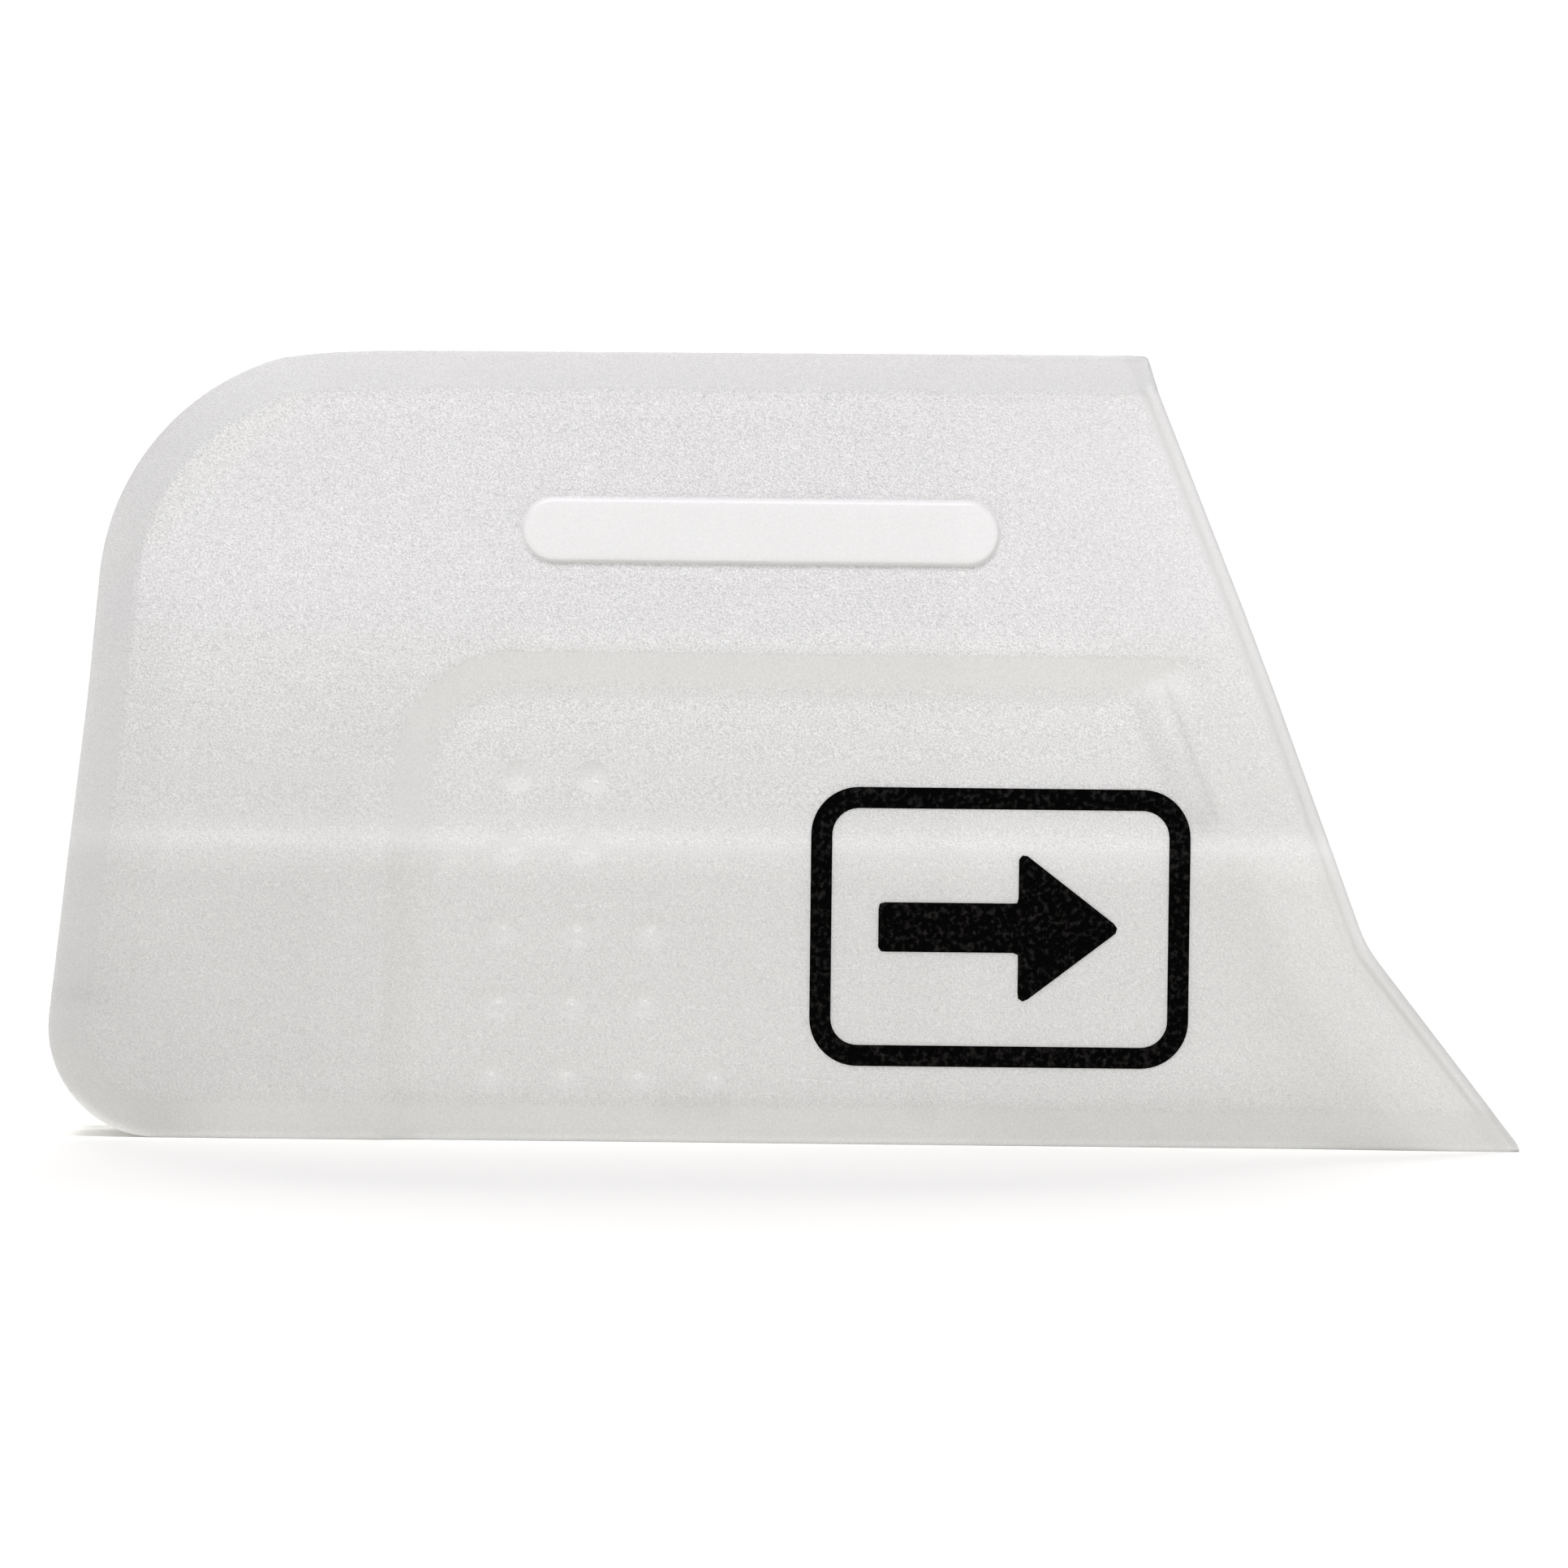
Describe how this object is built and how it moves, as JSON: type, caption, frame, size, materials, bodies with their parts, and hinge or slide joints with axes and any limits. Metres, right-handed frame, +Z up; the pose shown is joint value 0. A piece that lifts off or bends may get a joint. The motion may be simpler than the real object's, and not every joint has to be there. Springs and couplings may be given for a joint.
{
  "type": "knife blade cap",
  "caption": "Flat push-on cap of frosted translucent plastic for a hand knife's blade: a pocket with a slanted open mouth, thumb grip with dimples and printed arrow.",
  "frame": {"origin": "middle of the footprint at the level of the long straight edge wall that the cap stands on", "axes": "+X from the closed end towards the slanted mouth, +Y through the thickness from the printed face to the plain one, +Z up from the edge wall to the spine"},
  "size_m": [0.08, 0.017, 0.0431],
  "materials": {
    "frosted_plastic": "fine-grained milky translucent polypropylene or polyethylene, smooth on the border and on the raised field",
    "black_ink": "matt black pad print that follows the grain"
  },
  "bodies": {
    "root": {"front_shell": "frosted_plastic", "back_shell": "frosted_plastic", "printed_frame": "black_ink", "printed_arrow": "black_ink"}
  },
  "joints": []
}
